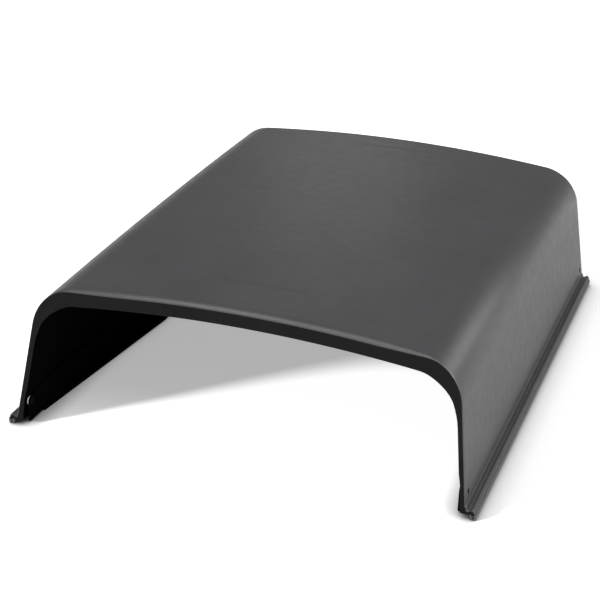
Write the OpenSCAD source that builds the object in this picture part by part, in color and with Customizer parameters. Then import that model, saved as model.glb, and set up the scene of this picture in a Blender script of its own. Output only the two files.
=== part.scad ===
// Open-ended roof vent cover: a moulded arched hood that tilts on two side
// rails screwed to the roof, with a lock bolt at each rear corner.
// Origin: centre of the footprint, on the roof. +X right, +Y rear, +Z up.

/* [Hood] */
// Length of the hood along the roof
hood_len = 590; // [400:5:800]
// Width over the side walls at their foot
wall_w = 468; // [380:2:600]
// Height of the crown above the foot of the walls, at the two ends
rise = 145.5; // [110:0.5:200]
// Extra height of the crown at mid length
crown_rise = 3.8; // [0:0.2:8]
// Lean of the end faces from foot to crown
end_lean = 21; // [0:1:40]
// Draft angle of the side walls
draft = 7.7; // [2:0.1:12]
// Outer radius of the shoulder between wall and crown
shoulder_r = 48; // [30:1:70]
// Radius of the crown across the hood
crown_r = 1650; // [900:10:4000]
// Thickness of the moulded sheet
sheet_t = 4; // [3:0.1:4.4]
// Depth of the turned-in rim at the two open ends
rim_depth = 17.2; // [10:0.1:22]

/* [Foot flange] */
// Height where the straight wall ends and the cove begins
foot_z = 17.2; // [16:0.1:20]
// Height of the top of the flange
flange_z = 11.5; // [11:0.1:12.5]
// Reach of the flange beyond the foot of the wall
flange_w = 10.4; // [10:0.1:12]
// Radius of the cove between wall and flange
cove_r = 4; // [3.5:0.1:4.2]
// Radius of the outer edge of the flange
edge_r = 5; // [4.9:0.1:5.5]
// Height of the lower edge of the flange lip
lip_z = 5; // [4.6:0.1:5.2]

/* [Seal] */
// Thickness of the seal on each side of the lip
seal_leg = 1; // [0.8:0.1:1.2]
// Height of the seal's legs above the roof
seal_top = 6.4; // [6:0.1:6.5]

/* [Pivot and lock] */
// Distance of the pivot and lock holes from the ends of the hood
hole_inset = 14; // [12:1:24]
// Height of the pivot and lock holes above the roof
hole_z = 23; // [22:0.5:26]
// Diameter of the pivot pins and lock bolts
pin_d = 5; // [4:0.5:6]
// Travel of the lock bolts
bolt_travel = 6; // [5:0.5:6]

/* [Side rails] */
// Thickness of the rail sheet
rail_t = 2; // [1.5:0.5:2]
// Height of the rail's upper edge above the roof
rail_top = 32; // [30:1:32]
// Width of the rail's foot
rail_foot_w = 27.3; // [22:0.1:30]
// Front end of the rail's foot, where its inner edge begins to flare
foot_y0 = -256; // [-260:2:-240]
// Place along the roof where the foot has its full width
foot_flare_y = -8; // [-60:2:0]
// Rear end of the rail's foot
foot_y1 = 240; // [230:5:250]
// Spacing of the roof screw holes
screw_pitch = 130; // [100:5:130]
// Diameter of the roof screw holes
screw_hole_d = 5.5; // [4.5:0.5:6.5]
// Thickness of the gasket under the rail's foot
gasket_t = 2; // [1:0.5:3]

/* [Hidden] */
$fn = 48;

half_l = hood_len / 2;
lip_x = wall_w / 2 + flange_w;
hole_y = half_l - hole_inset;
pin_r = pin_d / 2;
run_gap = 0.08;             // radial clearance of a pin that turns in its hole
slide_gap = 0.06;           // radial clearance of a bolt that slides in its barrel
bolt_hole_gap = 0.3;        // radial clearance of a lock bolt in the hood's hole

// Inner face of the wall at the height of the pivot and lock holes
wall_in_x = wall_w / 2 - (hole_z - foot_z) * tan(draft) - sheet_t / cos(draft);
rail_out_x = wall_in_x - 1.88;
rail_in_x = rail_out_x - rail_t;
ear_r = rail_top - hole_z;
screw_x = rail_out_x - 15.3;
screw_y0 = foot_y1 - 30 - screw_pitch;    // middle screw hole; the last is 30 before the foot's end

// ---- cross-section of the hood -------------------------------------------

// A point of the outer outline: [x, z, outward normal x, outward normal z]
function arc_pt(cx, cz, r, a, side = 1) =
    [cx + r * cos(a), cz + r * sin(a), side * cos(a), side * sin(a)];

function lerp(a, b, f) = a + (b - a) * f;

// Height of the centre of the shoulder radius, for a crown of height h
function shoulder_z(h) =
    let (k = h - crown_r,
         p = wall_w / 2 - shoulder_r / cos(draft),
         q = -tan(draft),
         a = q * q + 1,
         b = 2 * p * q - 2 * k,
         c = p * p + k * k - pow(crown_r - shoulder_r, 2))
    (-b + sqrt(b * b - 4 * a * c)) / (2 * a);

cove_cz = flange_z + cove_r;
cove_cx = wall_w / 2 + (foot_z - cove_cz) * tan(draft) + cove_r / cos(draft);
edge_cx = lip_x - edge_r;
edge_cz = flange_z - edge_r;

// Right half of the outer outline from the lip up to the crown, for height h
function half_outline(h, n_edge = 4, n_cove = 4, n_wall = 5, n_shoulder = 9, n_crown = 6) =
    let (sz = shoulder_z(h),
         sx = wall_w / 2 - shoulder_r / cos(draft) - sz * tan(draft),
         crown_a = atan2(sz - (h - crown_r), sx),
         w0 = arc_pt(cove_cx, cove_cz, cove_r, 180 + draft, -1),
         w1 = arc_pt(sx, sz + foot_z, shoulder_r, draft))
    concat(
        [[lip_x, lip_z, 1, 0]],
        [for (i = [0:n_edge]) arc_pt(edge_cx, edge_cz, edge_r, 90 * i / n_edge)],
        [for (i = [0:n_cove]) arc_pt(cove_cx, cove_cz, cove_r, lerp(270, 180 + draft, i / n_cove), -1)],
        [for (i = [1:n_wall - 1]) [lerp(w0[0], w1[0], i / n_wall), lerp(w0[1], w1[1], i / n_wall),
                                   cos(draft), sin(draft)]],
        [for (i = [0:n_shoulder]) arc_pt(sx, sz + foot_z, shoulder_r, lerp(draft, crown_a, i / n_shoulder))],
        [for (i = [1:n_crown]) arc_pt(0, foot_z + h - crown_r, crown_r, lerp(crown_a, 90, i / n_crown))]
    );

function mirrored(p) = [-p[0], p[1], -p[2], p[3]];

function outline(h) =
    let (half = half_outline(h), n = len(half))
    concat(half, [for (i = [n - 2:-1:0]) mirrored(half[i])]);

// ---- hood as a loft of cross-sections ------------------------------------

rim_z0 = foot_z + 0.5 * rise;    // the rim grows from the sheet's thickness here
rim_z1 = foot_z + 0.92 * rise;   // and has its full depth from here up
function ease(f) = let (g = max(0, min(1, f))) g * g * (3 - 2 * g);
function depth_at(z, rim) =
    rim ? lerp(sheet_t, rim_depth, ease((z - rim_z0) / (rim_z1 - rim_z0))) : sheet_t;

function end_y(z) = half_l - end_lean * max(0, z - foot_z) / rise;
function ring_pt(x, z, s) = [x, (2 * s - 1) * end_y(z), z];

// Each station: [place from front (0) to rear (1), whether the rim is there]
rim_s = sheet_t / hood_len;
rim_step = 0.8 / hood_len;
mid_stations = [0.06, 0.15, 0.26, 0.38];
front_stations = concat([[0, true], [rim_s, true], [rim_s + rim_step, false]],
                        [for (s = mid_stations) [s, false]]);
stations = concat(front_stations, [[0.5, false]],
                  [for (i = [len(front_stations) - 1:-1:0])
                      [1 - front_stations[i][0], front_stations[i][1]]]);

function ring(st) =
    let (line = outline(rise + crown_rise * 4 * st[0] * (1 - st[0])))
    concat([for (p = line) ring_pt(p[0], p[1], st[0])],
           [for (p = line) let (d = depth_at(p[1], st[1]))
               ring_pt(p[0] - p[2] * d, p[1] - p[3] * d, st[0])]);

function two(q) = [[q[0], q[1], q[2]], [q[0], q[2], q[3]]];

module hood_shell() {
    n = len(outline(rise));
    m = len(stations);
    pts = [for (st = stations) each ring(st)];
    o = function (j, i) j * 2 * n + i;
    k = function (j, i) j * 2 * n + n + i;
    quads = concat(
        [for (j = [0:m - 2], i = [0:n - 2]) [o(j, i), o(j, i + 1), o(j + 1, i + 1), o(j + 1, i)]],
        [for (j = [0:m - 2], i = [0:n - 2]) [k(j, i), k(j + 1, i), k(j + 1, i + 1), k(j, i + 1)]],
        [for (i = [0:n - 2]) [o(0, i), k(0, i), k(0, i + 1), o(0, i + 1)]],
        [for (i = [0:n - 2]) [o(m - 1, i), o(m - 1, i + 1), k(m - 1, i + 1), k(m - 1, i)]],
        [for (j = [0:m - 2]) [o(j, 0), o(j + 1, 0), k(j + 1, 0), k(j, 0)]],
        [for (j = [0:m - 2]) [o(j + 1, n - 1), o(j, n - 1), k(j, n - 1), k(j + 1, n - 1)]]
    );
    polyhedron(points = pts, faces = [for (q = quads) each two(q)], convexity = 6);
}

// A cylinder along +X from x0 to x1, centred on y and z
module rod_x(x0, x1, r, y, z) {
    translate([x0, y, z]) rotate([0, 90, 0]) cylinder(h = x1 - x0, r = r);
}

// What is drawn for the right side, on either side
module on_side(side) {
    if (side > 0) children();
    else mirror([1, 0, 0]) children();
}

module hood() {
    color([0.2, 0.2, 0.21])
    difference() {
        hood_shell();
        for (side = [1, -1]) on_side(side) {
            rod_x(wall_in_x - 4, wall_in_x + 12, pin_r + run_gap, -hole_y, hole_z);
            rod_x(wall_in_x - 4, wall_in_x + 12, pin_r + bolt_hole_gap, hole_y, hole_z);
        }
    }
}

// ---- soft seal pushed onto the flange lip --------------------------------

seal_end_gap = 0.5;
lip_gap = 0.05;
module seal_strip(side) {
    mid_x = lip_x - sheet_t / 2;
    half_w = sheet_t / 2 + seal_leg;
    color([0.08, 0.08, 0.08])
    on_side(side)
    translate([0, half_l - seal_end_gap, 0]) rotate([90, 0, 0])
    linear_extrude(height = hood_len - 2 * seal_end_gap)
    difference() {
        union() {
            translate([mid_x, half_w]) circle(r = half_w);
            translate([mid_x - half_w, half_w]) square([2 * half_w, seal_top - half_w]);
        }
        translate([lip_x - sheet_t - lip_gap, lip_z - lip_gap])
            square([sheet_t + 2 * lip_gap, seal_top]);
    }
}

// ---- side rails and their gaskets ----------------------------------------

rail_z0 = gasket_t;
front_ear_r = 4.6;           // roundness of the rail's front ear
ear_slope = 24;              // length over which the front ear rises to the rail's height

// Outline of the rail's foot seen from above, grown inwards and endwards by m
module foot_outline(m) {
    x0 = rail_out_x - rail_t - m;
    x1 = rail_out_x - rail_foot_w - m;
    polygon([[rail_out_x, foot_y0 - m], [x0, foot_y0 - m], [x1, foot_flare_y - m],
             [x1, foot_y1 + m], [rail_out_x, foot_y1 + m]]);
}

module rail_screw_holes(z0, z1) {
    for (i = [-1:1])
        translate([screw_x, screw_y0 + i * screw_pitch, z0])
            cylinder(h = z1 - z0, d = screw_hole_d);
}

module side_rail(side) {
    front_y = -hole_y - front_ear_r;
    rear_y = hole_y + ear_r;
    color([0.13, 0.13, 0.14])
    on_side(side)
    difference() {
        union() {
            translate([rail_in_x, 0, 0]) rotate([90, 0, 90])
            linear_extrude(height = rail_t) {
                polygon([[front_y, rail_z0], [rear_y, rail_z0], [rear_y, hole_z], [hole_y, rail_top],
                         [ear_slope - hole_y, rail_top], [-hole_y, hole_z + front_ear_r], [front_y, hole_z]]);
                translate([-hole_y, hole_z]) circle(r = front_ear_r);
                translate([hole_y, hole_z]) circle(r = ear_r);
            }
            translate([0, 0, rail_z0]) linear_extrude(height = rail_t) foot_outline(0);
        }
        rod_x(rail_in_x - 1, rail_out_x + 1, pin_r + lip_gap, -hole_y, hole_z);
        pin_head(lip_gap);
        rod_x(rail_in_x - 1, rail_out_x + 1, barrel_r + lip_gap, hole_y, hole_z);
        rail_screw_holes(rail_z0 - 1, rail_z0 + rail_t + 1);
    }
}

module foot_gasket(side) {
    margin = 1;
    color([0.1, 0.1, 0.1])
    on_side(side)
    difference() {
        linear_extrude(height = gasket_t) foot_outline(margin);
        rail_screw_holes(-1, gasket_t + 1);
    }
}

// ---- front pivots ---------------------------------------------------------

pivot_head_r = 3.6;
pivot_head_t = 1.1;
pin_recess = 1.9;            // the pin's end stops this far inside the wall's outer face
spacer_t = 1.1;

// Countersunk head of a pivot pin, flush with the rail's inner face, grown by g
module pin_head(g) {
    translate([rail_in_x, -hole_y, hole_z]) rotate([0, 90, 0])
        cylinder(h = pivot_head_t, r1 = pivot_head_r + g, r2 = pin_r + g);
}

module pivot_pin(side) {
    end_x = wall_in_x + sheet_t / cos(draft) - pin_recess;
    color([0.25, 0.25, 0.26])
    on_side(side) {
        pin_head(0);
        rod_x(rail_in_x, end_x, pin_r, -hole_y, hole_z);
    }
}

module pivot_spacer(side) {
    color([0.75, 0.74, 0.7])
    on_side(side)
    difference() {
        rod_x(rail_out_x, rail_out_x + spacer_t, front_ear_r, -hole_y, hole_z);
        rod_x(rail_out_x - 1, rail_out_x + spacer_t + 1, pin_r + lip_gap, -hole_y, hole_z);
    }
}

// ---- rear locks -----------------------------------------------------------

barrel_r = 4;
barrel_l = 20.3;
collar_r = 6;
collar_t = 4;
nut_t = 4;
nut_r = 7.5;
bolt_rear_gap = 0.3;         // the bolt's tip rests this far inside the barrel
knob_r = 8;
knob_t = 12;
knob_gap = bolt_travel + 0.3;
flute_r = 1.6;
flute_count = 10;
ring_wire_r = 0.45;
groove_w = 1.2;
groove_r = pin_r + 0.07 + 2 * ring_wire_r + 0.05;

barrel_x0 = rail_out_x - barrel_l;
collar_x0 = barrel_x0 - collar_t;
knob_x0 = collar_x0 - knob_gap - knob_t;
groove_x = collar_x0 + collar_t / 2;

module lock_barrel(side) {
    color([0.62, 0.63, 0.65])
    on_side(side)
    difference() {
        union() {
            rod_x(barrel_x0 - 0.5, rail_out_x, barrel_r, hole_y, hole_z);
            rod_x(collar_x0, barrel_x0, collar_r, hole_y, hole_z);
        }
        rod_x(collar_x0 - 1, rail_out_x + 1, pin_r + slide_gap, hole_y, hole_z);
        rod_x(groove_x - groove_w / 2, groove_x + groove_w / 2, groove_r, hole_y, hole_z);
    }
}

// Friction ring in the barrel's groove: it keeps the bolt where it is put
module lock_oring(side) {
    color([0.06, 0.06, 0.06])
    on_side(side)
    translate([groove_x, hole_y, hole_z]) rotate([0, 90, 0])
    rotate_extrude() translate([groove_r - 0.05 - ring_wire_r, 0]) circle(r = ring_wire_r);
}

module lock_nut(side) {
    color([0.6, 0.61, 0.63])
    on_side(side)
    difference() {
        translate([rail_in_x - nut_t, hole_y, hole_z]) rotate([0, 90, 0])
            cylinder(h = nut_t, r = nut_r, $fn = 6);
        rod_x(rail_in_x - nut_t - 1, rail_in_x + 1, barrel_r + lip_gap, hole_y, hole_z);
    }
}

module lock_bolt(side) {
    color([0.66, 0.67, 0.69])
    on_side(side)
    rod_x(knob_x0 + 3, rail_out_x - bolt_rear_gap, pin_r, hole_y, hole_z);
}

module bolt_knob(side) {
    color([0.09, 0.09, 0.09])
    on_side(side)
    difference() {
        translate([knob_x0, hole_y, hole_z]) rotate([0, 90, 0])
        linear_extrude(height = knob_t)
        difference() {
            circle(r = knob_r);
            for (i = [0:flute_count - 1]) rotate(360 * i / flute_count)
                translate([knob_r + flute_r / 2, 0]) circle(r = flute_r);
        }
        rod_x(knob_x0 + 3, knob_x0 + knob_t + 1, pin_r, hole_y, hole_z);
    }
}

hood();
seal_strip(-1);  // seal_strip_left
seal_strip(1);  // seal_strip_right
side_rail(-1);  // side_rail_left
side_rail(1);  // side_rail_right
foot_gasket(-1);  // foot_gasket_left
foot_gasket(1);  // foot_gasket_right
pivot_pin(-1);  // pivot_pin_left
pivot_pin(1);  // pivot_pin_right
pivot_spacer(-1);  // pivot_spacer_left
pivot_spacer(1);  // pivot_spacer_right
lock_barrel(-1);  // lock_barrel_left
lock_barrel(1);  // lock_barrel_right
lock_nut(-1);  // lock_nut_left
lock_nut(1);  // lock_nut_right
lock_oring(-1);  // lock_oring_left
lock_oring(1);  // lock_oring_right
lock_bolt(-1);  // lock_bolt_left
lock_bolt(1);  // lock_bolt_right
bolt_knob(-1);  // bolt_knob_left
bolt_knob(1);  // bolt_knob_right
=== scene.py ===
from math import acos, atan2, cos, pi, radians, sin, sqrt, tan

import bmesh
import bpy
from mathutils import Matrix, Vector


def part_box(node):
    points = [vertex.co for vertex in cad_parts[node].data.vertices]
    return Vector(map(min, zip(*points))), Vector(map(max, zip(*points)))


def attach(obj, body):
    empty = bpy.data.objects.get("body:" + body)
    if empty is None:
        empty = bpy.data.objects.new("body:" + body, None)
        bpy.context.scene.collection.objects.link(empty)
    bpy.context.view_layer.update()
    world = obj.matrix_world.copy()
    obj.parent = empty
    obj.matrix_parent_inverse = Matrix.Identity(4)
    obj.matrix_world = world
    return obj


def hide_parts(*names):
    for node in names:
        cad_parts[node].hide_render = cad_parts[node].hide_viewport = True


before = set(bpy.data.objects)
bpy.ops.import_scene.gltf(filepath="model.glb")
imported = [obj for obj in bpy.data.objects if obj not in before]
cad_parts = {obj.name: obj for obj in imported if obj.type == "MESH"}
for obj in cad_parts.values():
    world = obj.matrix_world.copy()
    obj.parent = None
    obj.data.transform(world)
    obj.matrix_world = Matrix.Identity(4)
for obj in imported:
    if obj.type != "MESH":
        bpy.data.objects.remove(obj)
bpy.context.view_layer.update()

MM = 0.001

# ---- sizes of the hood, in mm, as in the CAD ------------------------------
HOOD_LEN, WALL_W, RISE, CROWN_RISE = 590.0, 468.0, 145.5, 3.8
END_LEAN, DRAFT, SHOULDER_R, CROWN_R = 21.0, radians(7.7), 48.0, 1650.0
SHEET_T, RIM_DEPTH, FOOT_Z = 4.0, 17.2, 17.2
LIP_Z = 5.0
HALF_L = HOOD_LEN / 2
HOLE_Y, HOLE_Z, PIVOT_HOLE_R, LOCK_HOLE_R = 281.0, 23.0, 2.58, 2.8

# ---- details of the moulding, in mm ---------------------------------------
END_ZONE = 34.0             # stations this near an end keep their distance from it
END_STEPS = (26.0, 19.0, 13.0, 9.5)    # rows of the mesh beside the rounding
FRONT_ROUND = 6.5           # rounding of the front edge on the crown
REAR_ROUND = 2.2            # and of the rear edge
LEG_ROUND = 1.1             # and down the legs
ROUND_Z = (148.0, 158.0)    # between these heights the one turns into the other
ROUND_TURNS = 10
RIM_ROUND = 1.2             # rounding of the rim's inner edge
RIM_T = 4.0                 # thickness of the turned-in rim
RIM_LOW_Z = FOOT_Z + 0.5 * RISE        # the rim has its full depth only near the crown
RIM_HIGH_Z = FOOT_Z + 0.92 * RISE
LEG_RIM = 1.6               # what the rim adds to the sheet down the legs
CLEAR_LOW_Z = (20.0, 28.0)  # there it thins beside the pivot, to clear the rail
CLEAR_HIGH_Z = (34.0, 42.0)
CLEAR_LEAST = 0.5
BACK_ROUND = 0.8
RIM_FILLET = 1.6
FOOT_TOP = 16.4             # the moulded foot begins here

# Outer face of the foot, from the lip up to the wall
FOOT_FACE = [(244.4, 5.0), (244.4, 6.6), (244.25, 8.0), (243.9, 9.3), (243.3, 10.4), (242.5, 11.3),
             (241.7, 11.7), (241.1, 11.5), (240.5, 10.7), (239.5, 9.8), (238.2, 9.5), (237.1, 9.6),
             (236.5, 10.3), (236.2, 11.4), (236.0, 12.6), (235.6, 13.4), (235.0, 13.7), (234.55, 14.3),
             (234.3, 15.2)]

# Under face of the foot, from the lip inwards and up the inside of the wall
FOOT_UNDER = [(240.4, 5.0), (240.4, 6.2), (240.1, 6.75), (239.4, 6.8), (238.8, 6.5), (238.3, 5.7),
              (237.5, 5.2), (231.9, 5.2), (230.2, 5.5), (229.3, 6.4), (229.05, 8.0), (229.0, 11.0),
              (228.9, 14.7)]

OUTER, FACE, INNER = 0, 1, 2    # the hood's materials: outside, then painted shade on the rim and inside
HOLE_SIDES = 32
HOLE_REACH = 12.0               # how far a cutter reaches to each side of the wall
LUMEN_Z, LUMEN_R = 2.55, 1.25   # the round hollow of the soft seal

# Two plain rows of shallow slanted strokes on the crown: (centre x, centre y)
STROKE_ROWS = [(-3.0, -215.0), (-3.0, 235.0)]
STROKE_COUNT, STROKE_PITCH = 15, 6.6
STROKE_LEN, STROKE_R, STROKE_SLANT, STROKE_DEPTH = 6.4, 1.1, radians(28), 0.45
STROKE_STEP = 0.7           # spacing of the mesh where the strokes are
STROKE_SPAN = 56.0
STROKE_REACH = 5.6


def lerp(a, b, f):
    return a + (b - a) * f


def ease(f):
    g = max(0.0, min(1.0, f))
    return g * g * (3 - 2 * g)


def rise_between(z, heights):
    """0 below the first height, 1 above the second, and smooth between them."""
    return ease((z - heights[0]) / (heights[1] - heights[0]))


def arc(cx, cz, r, a):
    """A point of a round part of the outline, with its outward normal."""
    return (cx + r * cos(a), cz + r * sin(a), cos(a), sin(a))


def shoulder_z(h):
    """Height of the shoulder's centre, where its arc meets both the wall and the crown."""
    k = h - CROWN_R
    p = WALL_W / 2 - SHOULDER_R / cos(DRAFT)
    q = -tan(DRAFT)
    a = q * q + 1
    b = 2 * p * q - 2 * k
    c = p * p + k * k - (CROWN_R - SHOULDER_R) ** 2
    return (-b + sqrt(b * b - 4 * a * c)) / (2 * a)


def end_y(z):
    """Distance of the leaning end planes from the middle at height z."""
    return HALF_L - END_LEAN * max(0.0, z - FOOT_Z) / RISE


def spaced(line, n):
    """n points evenly spaced along a polyline."""
    line = [Vector(p) for p in line]
    far = [0.0]
    for a, b in zip(line, line[1:]):
        far.append(far[-1] + (b - a).length)
    out = []
    for i in range(n):
        want = far[-1] * i / (n - 1)
        j = max(k for k in range(len(far) - 1) if far[k] <= want + 1e-9)
        out.append(line[j].lerp(line[j + 1], (want - far[j]) / (far[j + 1] - far[j])))
    return out


FOOT_INNER = spaced(FOOT_UNDER, len(FOOT_FACE))


def outline(h):
    """The section for a crown of height h, from lip to lip: (x, z, x and z of one mm inwards)."""
    sz = shoulder_z(h)
    sx = WALL_W / 2 - SHOULDER_R / cos(DRAFT) - sz * tan(DRAFT)
    crown_a = atan2(sz - (h - CROWN_R), sx)
    wall_top = arc(sx, sz + FOOT_Z, SHOULDER_R, DRAFT)
    wall_x = wall_top[0] + (wall_top[1] - FOOT_TOP) * tan(DRAFT)
    line = []
    for i in range(17):
        f = i / 17
        line.append((lerp(wall_x, wall_top[0], f), lerp(FOOT_TOP, wall_top[1], f), cos(DRAFT), sin(DRAFT)))
    line += [arc(sx, sz + FOOT_Z, SHOULDER_R, lerp(DRAFT, crown_a, i / 24)) for i in range(25)]
    edge_x = CROWN_R * cos(crown_a)
    wide = [lerp(edge_x, STROKE_SPAN, i / 12) for i in range(1, 13)]
    steps = int(STROKE_SPAN / STROKE_STEP)
    near = [STROKE_SPAN * (1 - i / steps) for i in range(1, steps + 1)]
    for x in wide + near:
        line.append(arc(0, FOOT_Z + h - CROWN_R, CROWN_R, acos(x / CROWN_R)))
    half = []
    for (x, z), q in zip(FOOT_FACE, FOOT_INNER):
        half.append((x, z, (q.x - x) / SHEET_T, (q.y - z) / SHEET_T))
    half += [(x, z, -u, -w) for x, z, u, w in line]
    return half + [(-x, z, -u, w) for x, z, u, w in reversed(half[:-1])]


def leg_rim(z):
    """What the rim adds to the sheet down the legs, less beside the pivot to clear the rail."""
    if z < FOOT_TOP:
        return 0.0
    return LEG_RIM * max(CLEAR_LEAST, rise_between(z, CLEAR_HIGH_Z), 1 - rise_between(z, CLEAR_LOW_Z))


def end_profile(z, crown_round):
    """Points round an open end at height z: (distance from the end plane, depth, material)."""
    depth = lerp(SHEET_T + leg_rim(z), RIM_DEPTH, rise_between(z, (RIM_LOW_Z, RIM_HIGH_Z)))
    r = lerp(LEG_ROUND, crown_round, rise_between(z, ROUND_Z))
    ri = RIM_ROUND
    spare = (depth - SHEET_T) / 2
    rb, rf = min(BACK_ROUND, spare), min(RIM_FILLET, spare)
    pts = [(a, 0.0, OUTER) for a in END_STEPS]
    for k in range(ROUND_TURNS + 1):
        t = 0.5 * pi * k / ROUND_TURNS
        # the last turns of the rounding and the rim face take the rim's painted shade
        pts.append((r - r * sin(t), r - r * cos(t), OUTER if k < ROUND_TURNS - 1 else FACE))
    pts += [(0.0, lerp(r, depth - ri, k / 4), FACE) for k in (1, 2, 3)]
    for k in range(6):
        t = 0.5 * pi * k / 5
        pts.append((ri - ri * cos(t), depth - ri + ri * sin(t), FACE))
    for k in range(4):
        t = 0.5 * pi * k / 3
        pts.append((RIM_T - BACK_ROUND + BACK_ROUND * sin(t), depth - rb + rb * cos(t), INNER))
    for k in range(5):
        t = 0.5 * pi * k / 4
        pts.append((RIM_T + RIM_FILLET - RIM_FILLET * cos(t), SHEET_T + rf - rf * sin(t), INNER))
    pts.append((RIM_T + 8.0, SHEET_T, INNER))
    return pts


def station_y(kind, v, z):
    """Place along the hood, at height z, of a loop's point."""
    if kind == "front":
        return v - end_y(z)
    if kind == "rear":
        return end_y(z) - v
    reach = end_y(z) - END_ZONE
    return lerp(-reach, reach, v)


def station_s(kind, v):
    """The same place as a fraction of the length, from which the crown's height follows."""
    if kind == "front":
        return v / HOOD_LEN
    if kind == "rear":
        return 1 - v / HOOD_LEN
    return lerp(END_ZONE, HOOD_LEN - END_ZONE, v) / HOOD_LEN


def stroke_depth(x, y):
    """Depth of the slanted strokes at a place on the crown."""
    for cx, cy in STROKE_ROWS:
        if abs(y - cy) > STROKE_REACH:
            continue
        deepest = 0.0
        for k in range(-(STROKE_COUNT // 2), STROKE_COUNT // 2 + 1):
            dx, dy = x - cx - k * STROKE_PITCH, y - cy
            along = dx * sin(STROKE_SLANT) + dy * cos(STROKE_SLANT)
            across = dx * cos(STROKE_SLANT) - dy * sin(STROKE_SLANT)
            away = sqrt(across ** 2 + max(0.0, abs(along) - STROKE_LEN / 2) ** 2) - STROKE_R
            deepest = max(deepest, STROKE_DEPTH * ease(0.5 - away / 1.2))
        return deepest
    return 0.0


def mid_stations():
    """Fractions of the middle stretch at which the outside has rows, close together at the strokes."""
    reach = end_y(FOOT_Z + RISE) - END_ZONE
    ys = [lerp(-reach, reach, k / 22) for k in range(23)]
    for _, cy in STROKE_ROWS:
        ys = [y for y in ys if abs(y - cy) > STROKE_REACH + 1]
        rows = int(STROKE_REACH / STROKE_STEP)
        ys += [cy + k * STROKE_STEP for k in range(-rows, rows + 1)]
    return [(y + reach) / (2 * reach) for y in sorted(ys)]


def hood_loops():
    """For each point of the section, its closed loop along the hood: (kind, value, depth, material)."""
    mids = mid_stations()
    heights = [p[1] for p in outline(RISE)]
    loops = []
    for z in heights:
        loop = [("front", a, d, o) for a, d, o in end_profile(z, FRONT_ROUND)]
        loop += [("mid", k / 14, SHEET_T, INNER) for k in range(15)]
        loop += [("rear", a, d, o) for a, d, o in reversed(end_profile(z, REAR_ROUND))]
        loop += [("mid", t, 0.0, OUTER) for t in reversed(mids)]
        loops.append(loop)
    return loops


def mesh_object(name, verts, faces, face_mats, mats):
    mesh = bpy.data.meshes.new(name)
    mesh.from_pydata([Vector(v) * MM for v in verts], [], faces)
    for m in mats:
        mesh.materials.append(m)
    for poly, k in zip(mesh.polygons, face_mats):
        poly.material_index = k
    obj = bpy.data.objects.new(name, mesh)
    bpy.context.scene.collection.objects.link(obj)
    return obj


def clean(obj, sharp_deg):
    """Merge doubled points, face outwards, and shade smooth with sharp creases."""
    bm = bmesh.new()
    bm.from_mesh(obj.data)
    bmesh.ops.remove_doubles(bm, verts=bm.verts, dist=0.00001)
    bmesh.ops.dissolve_degenerate(bm, edges=bm.edges, dist=0.00001)
    bmesh.ops.recalc_face_normals(bm, faces=bm.faces)
    bm.to_mesh(obj.data)
    bm.free()
    obj.data.shade_smooth()
    obj.data.set_sharp_from_angle(angle=radians(sharp_deg))


def cylinder_x(name, x0, x1, r, y, z, mats):
    """A cutter for a hole across a wall; the hole's side is dark with the same painted shade as the inside
    of the hood.
    """
    turns = [2 * pi * k / HOLE_SIDES for k in range(HOLE_SIDES)]
    verts = [(x, y + r * cos(t), z + r * sin(t)) for x in (x0, x1) for t in turns]
    faces = []
    for k in range(HOLE_SIDES):
        j = (k + 1) % HOLE_SIDES
        faces.append((k, j, HOLE_SIDES + j, HOLE_SIDES + k))
    faces += [tuple(range(HOLE_SIDES))[::-1], tuple(range(HOLE_SIDES, 2 * HOLE_SIDES))]
    return mesh_object(name, verts, faces, [INNER] * len(faces), mats)


def cut(obj, cutter):
    """Take the cutter's shape out of an object, and delete the cutter."""
    mod = obj.modifiers.new("cut", "BOOLEAN")
    mod.operation = "DIFFERENCE"
    mod.solver = "EXACT"
    mod.object = cutter
    bpy.context.view_layer.update()
    deps = bpy.context.evaluated_depsgraph_get()
    mesh = bpy.data.meshes.new_from_object(obj.evaluated_get(deps))
    obj.modifiers.clear()
    old = obj.data
    obj.data = mesh
    bpy.data.meshes.remove(old)
    bpy.data.objects.remove(cutter)


def build_hood(mats):
    """The hood's skin: a loop along the hood for each point of the section, joined into a shell."""
    loops = hood_loops()
    m = len(loops[0])
    n = len(loops)
    sections = {}
    verts = []
    for i, loop in enumerate(loops):
        for kind, v, d, part in loop:
            s = round(station_s(kind, v), 6)
            if s not in sections:
                sections[s] = outline(RISE + CROWN_RISE * 4 * s * (1 - s))
            x, z, u, w = sections[s][i]
            if part == OUTER and kind == "mid":
                d = stroke_depth(x, station_y(kind, v, z))
            x, z = x + u * d, z + w * d
            verts.append((x, station_y(kind, v, z), z))
    faces, kinds = [], []
    for i in range(n - 1):
        for k in range(m):
            j = (k + 1) % m
            faces.append((i * m + k, i * m + j, (i + 1) * m + j, (i + 1) * m + k))
            kinds.append(max(loops[i][k][3], loops[i][j][3]))
    faces += [tuple(range(m))[::-1], tuple(range((n - 1) * m, n * m))]
    kinds += [FACE, FACE]
    hood = mesh_object("hood_skin", verts, faces, kinds, mats)
    clean(hood, 40)
    wall_x = WALL_W / 2
    for side in (-1, 1):
        for y, r in ((-HOLE_Y, PIVOT_HOLE_R), (HOLE_Y, LOCK_HOLE_R)):
            x = side * wall_x
            cut(hood, cylinder_x("cutter", x - HOLE_REACH, x + HOLE_REACH, r, y, HOLE_Z, mats))
    clean(hood, 40)
    return hood


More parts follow.
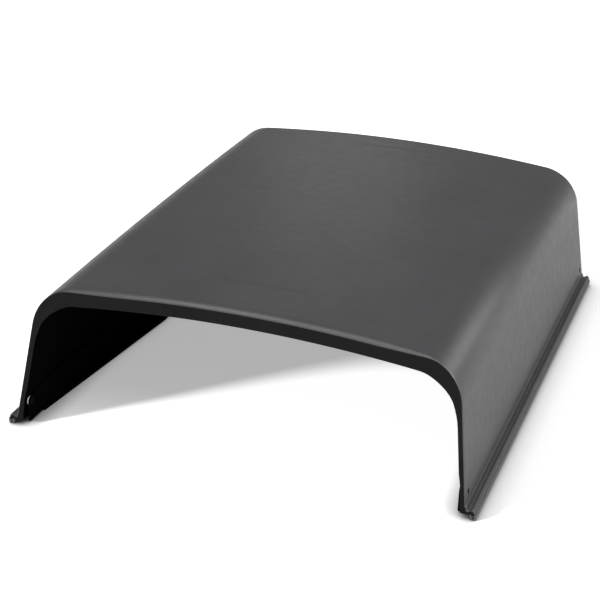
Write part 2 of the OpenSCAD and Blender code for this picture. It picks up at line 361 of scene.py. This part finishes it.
def build_seal(side, mat):
    """The soft hollow edging pushed onto the lip: a slotted bulb with a round lumen."""
    low, high = (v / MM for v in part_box("seal_strip_right"))
    cx, r = (low.x + high.x) / 2, (high.x - low.x) / 2
    top, tip = high.z, 0.45
    slot_x, slot_z = SHEET_T / 2 + 0.05, LIP_Z - 0.05
    profile = [(r * cos(a), r + r * sin(a)) for a in (pi + pi * k / 16 for k in range(17))]
    profile += [(r, top - tip), (r - 0.15, top - 0.12), (r - tip, top), (slot_x, top - 0.1)]
    profile += [(slot_x, slot_z), (-slot_x, slot_z)]
    profile += [(-slot_x, top - 0.1), (tip - r, top), (0.15 - r, top - 0.12), (-r, top - tip)]
    lumen = [(LUMEN_R * cos(a), LUMEN_Z + LUMEN_R * sin(a)) for a in (2 * pi * k / 16 for k in range(16))]
    bm = bmesh.new()
    rows = 24
    rings = []
    for line in (profile, lumen):
        made = []
        for k in range(rows + 1):
            y = lerp(low.y, high.y, k / rows)
            made.append([bm.verts.new(Vector((side * (cx + x), y, z)) * MM) for x, z in line])
        for a, b in zip(made, made[1:]):
            for j in range(len(line)):
                g = (j + 1) % len(line)
                bm.faces.new((a[j], a[g], b[g], b[j]))
        rings.append(made)
    for k in (0, rows):
        edges = []
        for made in rings:
            ring = made[k]
            edges += [bm.edges.get((ring[j], ring[(j + 1) % len(ring)])) for j in range(len(ring))]
        bmesh.ops.triangle_fill(bm, use_beauty=True, edges=edges)
    name = "seal_bulb_right" if side > 0 else "seal_bulb_left"
    mesh = bpy.data.meshes.new(name)
    bm.to_mesh(mesh)
    bm.free()
    mesh.materials.append(mat)
    obj = bpy.data.objects.new(name, mesh)
    bpy.context.scene.collection.objects.link(obj)
    clean(obj, 40)
    return obj


# ---- materials ------------------------------------------------------------
BLOTCH = 14.0               # scale of the mottling
GRAIN_DEPTH = 0.0001


def ramp(nodes, stops):
    """A colour ramp between two stops."""
    node = nodes.new("ShaderNodeValToRGB")
    node.color_ramp.elements[0].position, node.color_ramp.elements[0].color = stops[0]
    node.color_ramp.elements[1].position, node.color_ramp.elements[1].color = stops[1]
    return node


def moulded(name, base, spread, rough, grain=900.0, bump=0.15, metallic=0.0, level=0.5):
    """A plastic, rubber or coated finish: mottled colour, uneven gloss and a fine grain in relief."""
    mat = bpy.data.materials.new(name)
    mat.use_nodes = True
    nodes, links = mat.node_tree.nodes, mat.node_tree.links
    bsdf = nodes["Principled BSDF"]
    bsdf.inputs["Metallic"].default_value = metallic
    bsdf.inputs["Specular IOR Level"].default_value = level
    place = nodes.new("ShaderNodeTexCoord").outputs["Object"]

    def noise(scale, detail, roughness=0.5):
        node = nodes.new("ShaderNodeTexNoise")
        node.inputs["Scale"].default_value = scale
        node.inputs["Detail"].default_value = detail
        node.inputs["Roughness"].default_value = roughness
        links.new(place, node.inputs["Vector"])
        return node.outputs["Fac"]

    dark = tuple(c * (1 - spread) for c in base) + (1,)
    light = tuple(c * (1 + spread) for c in base) + (1,)
    tone = ramp(nodes, [(0.35, dark), (0.65, light)])
    links.new(noise(BLOTCH, 5.0, 0.6), tone.inputs["Fac"])
    links.new(tone.outputs["Color"], bsdf.inputs["Base Color"])

    gloss = nodes.new("ShaderNodeMapRange")
    gloss.inputs["From Min"].default_value = 0.3
    gloss.inputs["From Max"].default_value = 0.7
    gloss.inputs["To Min"].default_value = rough[0]
    gloss.inputs["To Max"].default_value = rough[1]
    links.new(noise(BLOTCH * 6, 4.0), gloss.inputs["Value"])
    links.new(gloss.outputs["Result"], bsdf.inputs["Roughness"])

    cells = nodes.new("ShaderNodeTexVoronoi")
    cells.feature = "SMOOTH_F1"
    cells.inputs["Scale"].default_value = grain
    links.new(place, cells.inputs["Vector"])
    mix = nodes.new("ShaderNodeMix")
    mix.inputs["Factor"].default_value = 0.4
    links.new(cells.outputs["Distance"], mix.inputs["A"])
    links.new(noise(grain * 1.7, 3.0), mix.inputs["B"])
    relief = nodes.new("ShaderNodeBump")
    relief.inputs["Strength"].default_value = bump
    relief.inputs["Distance"].default_value = GRAIN_DEPTH
    links.new(mix.outputs["Result"], relief.inputs["Height"])
    links.new(relief.outputs["Normal"], bsdf.inputs["Normal"])
    return mat


def paint(obj, mat):
    """Give a carried-over CAD node one material in all its slots."""
    for k in range(len(obj.material_slots)):
        obj.material_slots[k].material = mat
    if not obj.material_slots:
        obj.data.materials.append(mat)


# ---- pieces ---------------------------------------------------------------
plastic = moulded("grained_plastic", (0.0500, 0.0494, 0.0522), 0.06, (0.40, 0.47),
                  grain=700, bump=0.5, level=0.3)
# The hood is one plastic throughout. The rim and inside materials are darker, matt copies of it: painted
# shade on the rim face, the inside and the holes' sides.
rim_shade = moulded("rim_plastic_painted_shade", (0.0065, 0.0065, 0.0068), 0.15, (0.6, 0.7),
                   grain=600, bump=0.4, level=0.07)
inside = moulded("inside_plastic_painted_shade", (0.0022, 0.0022, 0.0024), 0.2, (0.85, 0.95),
                 grain=500, bump=0.25, level=0.0)
rubber = moulded("seal_rubber", (0.080, 0.080, 0.083), 0.15, (0.45, 0.6), grain=1200, bump=0.3)
# Black coat on the rails. Its near-black tone is also painted shade: the rails' feet, which widen towards
# the rear, stand in for the dark shade on the floor along the inside of the left wall.
coating_and_shade = moulded("rail_coating", (0.0025, 0.0025, 0.0027), 0.2, (0.8, 0.9),
                  grain=420, bump=0.4, level=0.0)
gasket = moulded("gasket_foam", (0.0025, 0.0025, 0.0025), 0.2, (0.9, 0.98),
                 grain=600, bump=0.8, level=0.0)
black_steel = moulded("black_steel", (0.003, 0.003, 0.003), 0.2, (0.6, 0.7),
                      grain=900, bump=0.15, level=0.02)
nylon = moulded("spacer_nylon", (0.62, 0.60, 0.54), 0.05, (0.4, 0.5), grain=800, bump=0.1)
zinc = moulded("black_zinc", (0.10, 0.10, 0.105), 0.25, (0.35, 0.5), grain=700, bump=0.15, metallic=1.0)
knob = moulded("knob_plastic", (0.014, 0.014, 0.015), 0.12, (0.45, 0.55), grain=800, bump=0.4, level=0.3)

hood = build_hood([plastic, rim_shade, inside])
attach(hood, "hood")
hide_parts("hood")

for side, word in ((-1, "left"), (1, "right")):
    seal = build_seal(side, rubber)
    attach(seal, "hood")
    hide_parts("seal_strip_" + word)
    for stem, mat in (("side_rail_", coating_and_shade), ("foot_gasket_", gasket), ("pivot_pin_", black_steel),
                      ("pivot_spacer_", nylon), ("lock_barrel_", zinc), ("lock_nut_", zinc),
                      ("lock_bolt_", zinc), ("lock_oring_", rubber), ("bolt_knob_", knob)):
        paint(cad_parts[stem + word], mat)

# ---- floor, light and camera ----------------------------------------------
FLOOR_HALF = 30.0
# Painted light on the floor: a slight glow that keeps it pale where the hood shades it.
PAINTED_FLOOR_GLOW = 0.42
CONTACT_SHADOW_REACH, CONTACT_SHADOW_POWER = 0.026, 1.5    # painted contact shadow: a soft dark line round what stands on the floor


def floor_plane():
    """A pale matt floor with painted light and shade: a slight glow keeps it pale under the hood, and a
    painted shadow darkens its colour and glow near what stands on it.
    """
    bm = bmesh.new()
    bmesh.ops.create_grid(bm, x_segments=1, y_segments=1, size=FLOOR_HALF)
    mesh = bpy.data.meshes.new("floor")
    bm.to_mesh(mesh)
    bm.free()
    obj = bpy.data.objects.new("floor", mesh)
    bpy.context.scene.collection.objects.link(obj)
    paper = moulded("floor_paper", (0.8, 0.8, 0.8), 0.004, (0.9, 1.0), grain=60, bump=0.0, level=0.0)
    bsdf = paper.node_tree.nodes["Principled BSDF"]
    nodes, links = paper.node_tree.nodes, paper.node_tree.links
    # painted contact shadow: ambient occlusion darkens the floor's colour and glow near what stands on it
    contact = nodes.new("ShaderNodeAmbientOcclusion")
    contact.samples = 8
    contact.inputs["Distance"].default_value = CONTACT_SHADOW_REACH
    shade = nodes.new("ShaderNodeMath")
    shade.operation = "POWER"
    shade.inputs[1].default_value = CONTACT_SHADOW_POWER
    links.new(contact.outputs["AO"], shade.inputs[0])
    glow = nodes.new("ShaderNodeMath")
    glow.operation = "MULTIPLY"
    glow.inputs[1].default_value = PAINTED_FLOOR_GLOW
    links.new(shade.outputs["Value"], glow.inputs[0])
    tone = nodes.new("ShaderNodeVectorMath")
    tone.operation = "SCALE"
    links.new(bsdf.inputs["Base Color"].links[0].from_socket, tone.inputs[0])
    links.new(shade.outputs["Value"], tone.inputs["Scale"])
    links.new(tone.outputs["Vector"], bsdf.inputs["Base Color"])
    bsdf.inputs["Emission Color"].default_value = (1, 1, 1, 1)
    links.new(glow.outputs["Value"], bsdf.inputs["Emission Strength"])
    mesh.materials.append(paper)
    return obj


def receivers(name, obj, state):
    """A light-linking set that includes or excludes one object."""
    coll = bpy.data.collections.new(name)
    coll.objects.link(obj)
    coll.collection_objects[0].light_linking.link_state = state
    return coll


def sun(name, azimuth, elevation, spread, strength, lit):
    """A far soft light. Azimuth 0 shines from the front, 90 from the right."""
    lamp = bpy.data.lights.new(name, "SUN")
    lamp.angle = radians(spread)
    lamp.energy = strength
    obj = bpy.data.objects.new(name, lamp)
    az, el = radians(azimuth), radians(elevation)
    source = Vector((sin(az) * cos(el), -cos(az) * cos(el), sin(el)))
    obj.rotation_euler = source.to_track_quat("Z", "Y").to_euler()
    bpy.context.scene.collection.objects.link(obj)
    obj.light_linking.receiver_collection = lit
    return obj


def softbox(name, place, aim, size, power):
    """A square soft light that adds gloss to the object and lights nothing else."""
    lamp = bpy.data.lights.new(name, "AREA")
    lamp.size = size
    lamp.energy = power
    obj = bpy.data.objects.new(name, lamp)
    obj.location = place
    obj.rotation_euler = (Vector(place) - Vector(aim)).to_track_quat("Z", "Y").to_euler()
    obj.visible_diffuse = False
    bpy.context.scene.collection.objects.link(obj)
    obj.light_linking.receiver_collection = off_floor


floor = floor_plane()
on_floor = receivers("on_floor", floor, "INCLUDE")
off_floor = receivers("off_floor", floor, "EXCLUDE")
sun("floor_top_light", 0, 90, 75, 1.7, on_floor)
sun("floor_side_light", -45, 18, 7, 7.0, on_floor)
sun("base_light", 10, 62, 50, 3.4, off_floor)
sun("corner_light", 72, 34, 14, 8.0, off_floor).visible_diffuse = False
softbox("edge_softbox", (-0.22, -0.50, 0.55), (-0.06, -0.30, 0.16), 0.12, 1.0)
softbox("rear_softbox", (-0.25, 0.80, 0.47), (0.0, 0.1, 0.16), 0.3, 0.2)
softbox("shoulder_softbox", (0.40, 0.10, 0.28), (0.20, -0.27, 0.14), 0.14, 0.35)

world = bpy.data.worlds.new("studio")
world.use_nodes = True
world.node_tree.nodes["Background"].inputs["Color"].default_value = (1.0, 1.0, 1.0, 1)
world.node_tree.nodes["Background"].inputs["Strength"].default_value = 0.25
bpy.context.scene.world = world
bpy.context.scene.view_settings.view_transform = "Standard"

YAW, PITCH, ROLL = radians(-18.912), radians(24.660), radians(1.8345)
TARGET = Vector((-0.00206, -0.09852, 0.0998))
DISTANCE = 1.6845


def photo_camera():
    """The camera at the photograph's viewing angle."""
    forward = Vector((sin(YAW) * cos(PITCH), cos(YAW) * cos(PITCH), -sin(PITCH)))
    right = Vector((cos(YAW), -sin(YAW), 0))
    up = right.cross(forward)
    across = cos(ROLL) * right + sin(ROLL) * up
    above = -sin(ROLL) * right + cos(ROLL) * up
    data = bpy.data.cameras.new("camera")
    data.sensor_width = 36
    data.lens = 95.43
    data.clip_end = 50
    obj = bpy.data.objects.new("camera", data)
    place = Matrix((across, above, -forward)).transposed().to_4x4()
    place.translation = TARGET - forward * DISTANCE
    obj.matrix_world = place
    bpy.context.scene.collection.objects.link(obj)
    bpy.context.scene.camera = obj


photo_camera()
